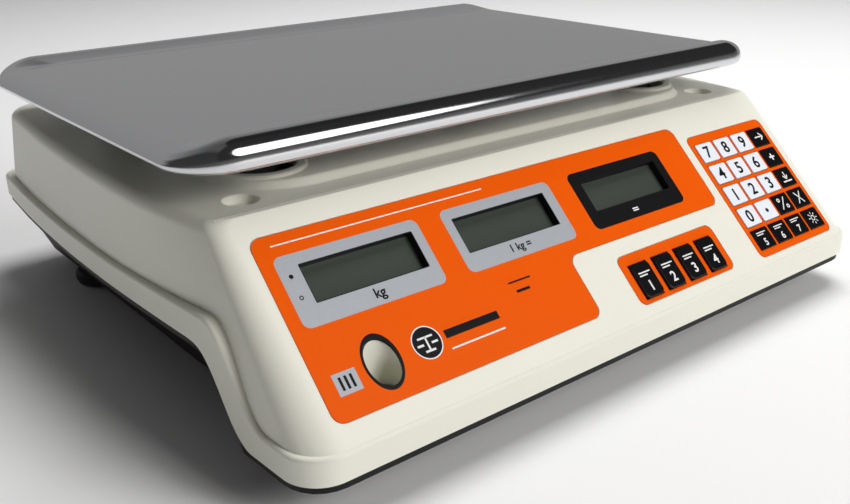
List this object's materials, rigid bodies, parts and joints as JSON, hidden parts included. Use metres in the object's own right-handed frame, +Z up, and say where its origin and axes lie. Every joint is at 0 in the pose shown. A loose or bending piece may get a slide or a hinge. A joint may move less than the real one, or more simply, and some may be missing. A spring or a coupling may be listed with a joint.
{
  "type": "price computing scale",
  "caption": "Counter-top price computing scale with a steel pan, three displays, a white and black keypad and levelling feet.",
  "frame": {"origin": "on the table, under the middle of the object's box", "axes": "+X to the operator's right, +Y away from the operator towards the customer, +Z up"},
  "size_m": [0.3578, 0.3322, 0.1234],
  "materials": {
    "cover_plastic": "injection moulded cream ABS, semi-gloss, very fine texture",
    "base_plastic": "black moulded plastic, fine grain",
    "foot_rubber": "dull black rubber",
    "zinc_steel": "zinc-plated turned steel",
    "pan_steel": "stainless sheet, almost mirror polished, faint lengthwise grain",
    "cast_alloy": "die-cast aluminium, as cast",
    "machined_alloy": "milled aluminium",
    "printed_sheet": "printed polyester sheet, orange with silver and black areas, satin",
    "display_glass": "reflective liquid-crystal pane, dark grey-green",
    "circuit_board": "green lacquered glass-fibre board",
    "key_white": "white moulded key, dark printed sign",
    "key_black": "black moulded key, pale printed sign",
    "vial": "clear vial with yellow-green liquid",
    "battery_case": "dark grey moulded case"
  },
  "bodies": {
    "housing": {"upper_cover": "cover_plastic", "base_tray": "base_plastic", "load_cell": "machined_alloy", "load_cell_block": "zinc_steel", "main_overlay": "printed_sheet", "keypad_overlay": "printed_sheet", "price_key_overlay": "printed_sheet", "mass_display": "display_glass", "unit_price_display": "display_glass", "total_price_display": "display_glass", "front_board": "circuit_board", "rear_display_1": "display_glass", "rear_display_2": "display_glass", "rear_display_3": "display_glass", "rear_overlay": "printed_sheet", "rear_board": "circuit_board", "level_vial": "vial", "main_board": "circuit_board", "battery": "battery_case", "power_switch_frame": "base_plastic", "power_inlet": "base_plastic"},
    "platform": {"platform_frame": "cast_alloy", "post_pad_front_left": "foot_rubber", "post_pad_rear_left": "foot_rubber", "post_pad_front_right": "foot_rubber", "post_pad_rear_right": "foot_rubber"},
    "pan": {"weighing_pan": "pan_steel"},
    "rocker": {"power_rocker": "base_plastic"},
    "key_0_cap": {"key_0": "key_white"},
    "key_1_cap": {"key_1": "key_white"},
    "key_2_cap": {"key_2": "key_white"},
    "key_3_cap": {"key_3": "key_white"},
    "key_4_cap": {"key_4": "key_white"},
    "key_5_cap": {"key_5": "key_white"},
    "key_6_cap": {"key_6": "key_white"},
    "key_7_cap": {"key_7": "key_white"},
    "key_8_cap": {"key_8": "key_white"},
    "key_9_cap": {"key_9": "key_white"},
    "key_point_cap": {"key_point": "key_white"},
    "key_price_recall_cap": {"key_price_recall": "key_black"},
    "key_memory_add_cap": {"key_memory_add": "key_black"},
    "key_tare_cap": {"key_tare": "key_black"},
    "key_unit_price_cap": {"key_unit_price": "key_black"},
    "key_clear_cap": {"key_clear": "key_black"},
    "key_price_1_cap": {"key_price_1": "key_black"},
    "key_price_2_cap": {"key_price_2": "key_black"},
    "key_price_3_cap": {"key_price_3": "key_black"},
    "key_price_4_cap": {"key_price_4": "key_black"},
    "key_price_5_cap": {"key_price_5": "key_black"},
    "key_price_6_cap": {"key_price_6": "key_black"},
    "key_price_7_cap": {"key_price_7": "key_black"},
    "key_backlight_cap": {"key_backlight": "key_black"},
    "stud_front_left": {"foot_stud_front_left": "zinc_steel"},
    "pad_front_left": {"foot_pad_front_left": "foot_rubber"},
    "stud_rear_left": {"foot_stud_rear_left": "zinc_steel"},
    "pad_rear_left": {"foot_pad_rear_left": "foot_rubber"},
    "stud_front_right": {"foot_stud_front_right": "zinc_steel"},
    "pad_front_right": {"foot_pad_front_right": "foot_rubber"},
    "stud_rear_right": {"foot_stud_rear_right": "zinc_steel"},
    "pad_rear_right": {"foot_pad_rear_right": "foot_rubber"}
  },
  "joints": [
    {"name": "platform_sink", "type": "slide", "parent": "housing", "child": "platform", "axis": [0, 0, 1], "range_m": [-0.0005, 0], "stiffness_N_per_m": 200000, "springref_m": 0.00008},
    {"name": "pan_lift", "type": "slide", "parent": "platform", "child": "pan", "axis": [0, 0, 1], "range_m": [0, 0.12]},
    {"name": "key_0_press", "type": "slide", "parent": "housing", "child": "key_0_cap", "axis": [0, 0.6972, -0.7169], "range_m": [0, 0.0005], "stiffness_N_per_m": 500},
    {"name": "key_1_press", "type": "slide", "parent": "housing", "child": "key_1_cap", "axis": [0, 0.6972, -0.7169], "range_m": [0, 0.0005], "stiffness_N_per_m": 500},
    {"name": "key_2_press", "type": "slide", "parent": "housing", "child": "key_2_cap", "axis": [0, 0.6972, -0.7169], "range_m": [0, 0.0005], "stiffness_N_per_m": 500},
    {"name": "key_3_press", "type": "slide", "parent": "housing", "child": "key_3_cap", "axis": [0, 0.6972, -0.7169], "range_m": [0, 0.0005], "stiffness_N_per_m": 500},
    {"name": "key_4_press", "type": "slide", "parent": "housing", "child": "key_4_cap", "axis": [0, 0.6972, -0.7169], "range_m": [0, 0.0005], "stiffness_N_per_m": 500},
    {"name": "key_5_press", "type": "slide", "parent": "housing", "child": "key_5_cap", "axis": [0, 0.6972, -0.7169], "range_m": [0, 0.0005], "stiffness_N_per_m": 500},
    {"name": "key_6_press", "type": "slide", "parent": "housing", "child": "key_6_cap", "axis": [0, 0.6972, -0.7169], "range_m": [0, 0.0005], "stiffness_N_per_m": 500},
    {"name": "key_7_press", "type": "slide", "parent": "housing", "child": "key_7_cap", "axis": [0, 0.6972, -0.7169], "range_m": [0, 0.0005], "stiffness_N_per_m": 500},
    {"name": "key_8_press", "type": "slide", "parent": "housing", "child": "key_8_cap", "axis": [0, 0.6972, -0.7169], "range_m": [0, 0.0005], "stiffness_N_per_m": 500},
    {"name": "key_9_press", "type": "slide", "parent": "housing", "child": "key_9_cap", "axis": [0, 0.6972, -0.7169], "range_m": [0, 0.0005], "stiffness_N_per_m": 500},
    {"name": "key_point_press", "type": "slide", "parent": "housing", "child": "key_point_cap", "axis": [0, 0.6972, -0.7169], "range_m": [0, 0.0005], "stiffness_N_per_m": 500},
    {"name": "key_price_recall_press", "type": "slide", "parent": "housing", "child": "key_price_recall_cap", "axis": [0, 0.6972, -0.7169], "range_m": [0, 0.0005], "stiffness_N_per_m": 500},
    {"name": "key_memory_add_press", "type": "slide", "parent": "housing", "child": "key_memory_add_cap", "axis": [0, 0.6972, -0.7169], "range_m": [0, 0.0005], "stiffness_N_per_m": 500},
    {"name": "key_tare_press", "type": "slide", "parent": "housing", "child": "key_tare_cap", "axis": [0, 0.6972, -0.7169], "range_m": [0, 0.0005], "stiffness_N_per_m": 500},
    {"name": "key_unit_price_press", "type": "slide", "parent": "housing", "child": "key_unit_price_cap", "axis": [0, 0.6972, -0.7169], "range_m": [0, 0.0005], "stiffness_N_per_m": 500},
    {"name": "key_clear_press", "type": "slide", "parent": "housing", "child": "key_clear_cap", "axis": [0, 0.6972, -0.7169], "range_m": [0, 0.0005], "stiffness_N_per_m": 500},
    {"name": "key_price_1_press", "type": "slide", "parent": "housing", "child": "key_price_1_cap", "axis": [0, 0.6972, -0.7169], "range_m": [0, 0.0008], "stiffness_N_per_m": 500},
    {"name": "key_price_2_press", "type": "slide", "parent": "housing", "child": "key_price_2_cap", "axis": [0, 0.6972, -0.7169], "range_m": [0, 0.0008], "stiffness_N_per_m": 500},
    {"name": "key_price_3_press", "type": "slide", "parent": "housing", "child": "key_price_3_cap", "axis": [0, 0.6972, -0.7169], "range_m": [0, 0.0008], "stiffness_N_per_m": 500},
    {"name": "key_price_4_press", "type": "slide", "parent": "housing", "child": "key_price_4_cap", "axis": [0, 0.6972, -0.7169], "range_m": [0, 0.0008], "stiffness_N_per_m": 500},
    {"name": "key_price_5_press", "type": "slide", "parent": "housing", "child": "key_price_5_cap", "axis": [0, 0.6972, -0.7169], "range_m": [0, 0.0005], "stiffness_N_per_m": 500},
    {"name": "key_price_6_press", "type": "slide", "parent": "housing", "child": "key_price_6_cap", "axis": [0, 0.6972, -0.7169], "range_m": [0, 0.0005], "stiffness_N_per_m": 500},
    {"name": "key_price_7_press", "type": "slide", "parent": "housing", "child": "key_price_7_cap", "axis": [0, 0.6972, -0.7169], "range_m": [0, 0.0005], "stiffness_N_per_m": 500},
    {"name": "key_backlight_press", "type": "slide", "parent": "housing", "child": "key_backlight_cap", "axis": [0, 0.6972, -0.7169], "range_m": [0, 0.0005], "stiffness_N_per_m": 500},
    {"name": "rocker_tip", "type": "hinge", "parent": "housing", "child": "rocker", "pos_m": [0.1598, 0.036, 0.0255], "axis": [0, 0, 1], "range_deg": [-7, 7]},
    {"name": "foot_front_left_screw", "type": "slide", "parent": "housing", "child": "stud_front_left", "axis": [0, 0, -1], "range_m": [0, 0.005]},
    {"name": "foot_front_left_turn", "type": "hinge", "parent": "stud_front_left", "child": "pad_front_left", "pos_m": [-0.139, -0.072, 0], "axis": [0, 0, -1], "range_deg": [0, 1441]},
    {"name": "foot_rear_left_screw", "type": "slide", "parent": "housing", "child": "stud_rear_left", "axis": [0, 0, -1], "range_m": [0, 0.005]},
    {"name": "foot_rear_left_turn", "type": "hinge", "parent": "stud_rear_left", "child": "pad_rear_left", "pos_m": [-0.139, 0.104, 0], "axis": [0, 0, -1], "range_deg": [0, 1441]},
    {"name": "foot_front_right_screw", "type": "slide", "parent": "housing", "child": "stud_front_right", "axis": [0, 0, -1], "range_m": [0, 0.005]},
    {"name": "foot_front_right_turn", "type": "hinge", "parent": "stud_front_right", "child": "pad_front_right", "pos_m": [0.139, -0.072, 0], "axis": [0, 0, -1], "range_deg": [0, 1441]},
    {"name": "foot_rear_right_screw", "type": "slide", "parent": "housing", "child": "stud_rear_right", "axis": [0, 0, -1], "range_m": [0, 0.005]},
    {"name": "foot_rear_right_turn", "type": "hinge", "parent": "stud_rear_right", "child": "pad_rear_right", "pos_m": [0.139, 0.104, 0], "axis": [0, 0, -1], "range_deg": [0, 1441]}
  ],
  "couplings": [
    {"joint": "foot_front_left_turn", "follows": "foot_front_left_screw", "rad_per_m": 5026.5},
    {"joint": "foot_rear_left_turn", "follows": "foot_rear_left_screw", "rad_per_m": 5026.5},
    {"joint": "foot_front_right_turn", "follows": "foot_front_right_screw", "rad_per_m": 5026.5},
    {"joint": "foot_rear_right_turn", "follows": "foot_rear_right_screw", "rad_per_m": 5026.5}
  ]
}
